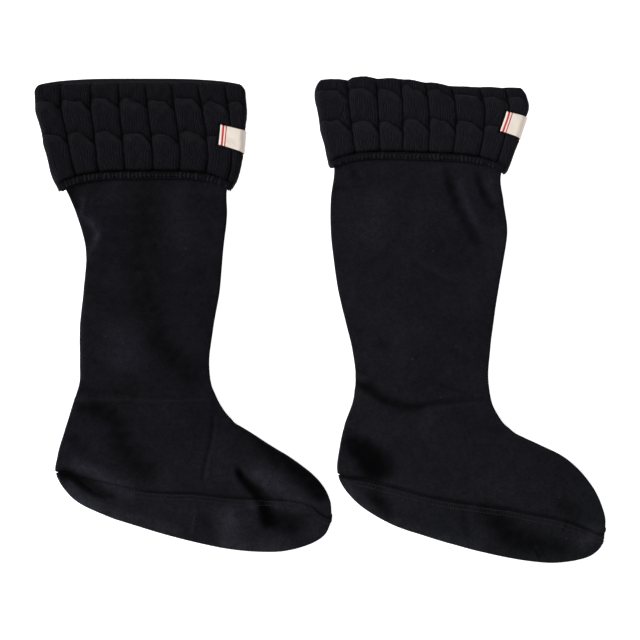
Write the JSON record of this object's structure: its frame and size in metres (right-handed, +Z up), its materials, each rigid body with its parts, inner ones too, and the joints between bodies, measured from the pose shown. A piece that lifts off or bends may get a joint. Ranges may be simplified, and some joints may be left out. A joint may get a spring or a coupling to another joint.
{
  "type": "pair of long fleece boot socks",
  "caption": "Pair of long fleece boot socks with wide turned-down cable-knit cuffs, lying flat side by side with the toes pointing the same way.",
  "frame": {"origin": "on the surface the pair lies on, under the middle of the pair", "axes": "+X the way the toes point, from the left sock towards the right one; +Y from the soles towards the cuffs; +Z up"},
  "size_m": [0.537, 0.4531, 0.0147],
  "materials": {
    "fleece": "matte brushed fleece, nearly black with a faint violet cast",
    "cable_knit": "chunky cable knit, nearly black, matte",
    "label_tape": "woven cream tape with two plain red bars"
  },
  "bodies": {
    "root": {"left_upper": "fleece", "left_sole": "fleece", "left_cuff": "cable_knit", "left_label": "label_tape", "right_upper": "fleece", "right_sole": "fleece", "right_cuff": "cable_knit", "right_label": "label_tape"}
  },
  "joints": []
}
